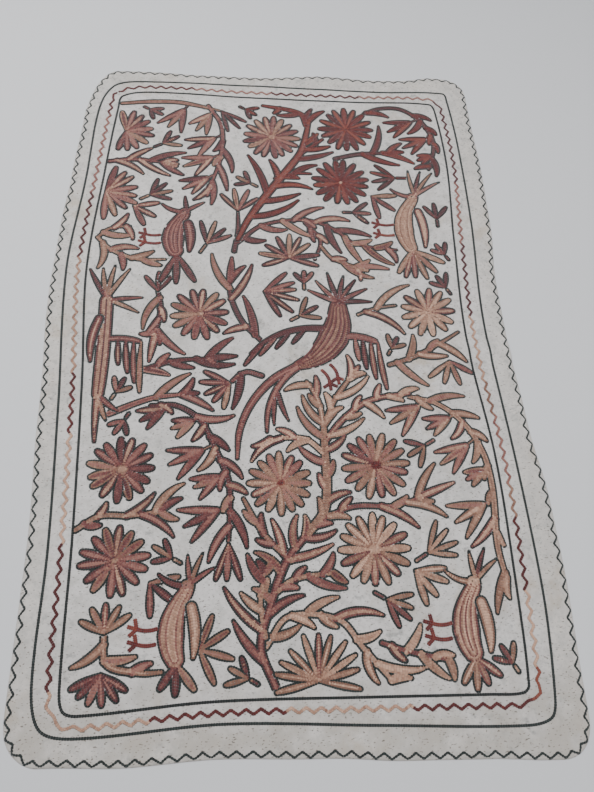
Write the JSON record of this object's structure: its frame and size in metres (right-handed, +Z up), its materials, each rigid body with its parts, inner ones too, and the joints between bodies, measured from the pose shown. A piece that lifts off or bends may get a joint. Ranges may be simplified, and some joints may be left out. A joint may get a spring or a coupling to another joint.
{
  "type": "namda felt rug",
  "caption": "Flat hand-felted wool floor rug with rounded corners and an uneven edge, chain-stitched with birds, flowers, vines and zigzag borders.",
  "frame": {"origin": "on the floor under the middle of the rug's outline", "axes": "+X across the rug, +Y along its length away from the camera, +Z up"},
  "size_m": [1.243, 1.9578, 0.0095],
  "materials": {
    "felt_wool": "undyed felted wool, matte and slightly hairy, with dark specks",
    "dark_green_yarn": "wool yarn in chain stitch, matte",
    "red_yarn": "wool yarn in chain stitch, matte",
    "rose_yarn": "wool yarn in chain stitch, matte",
    "tan_yarn": "wool yarn in chain stitch, matte"
  },
  "bodies": {
    "root": {"felt_ground": "felt_wool"}
  },
  "joints": []
}
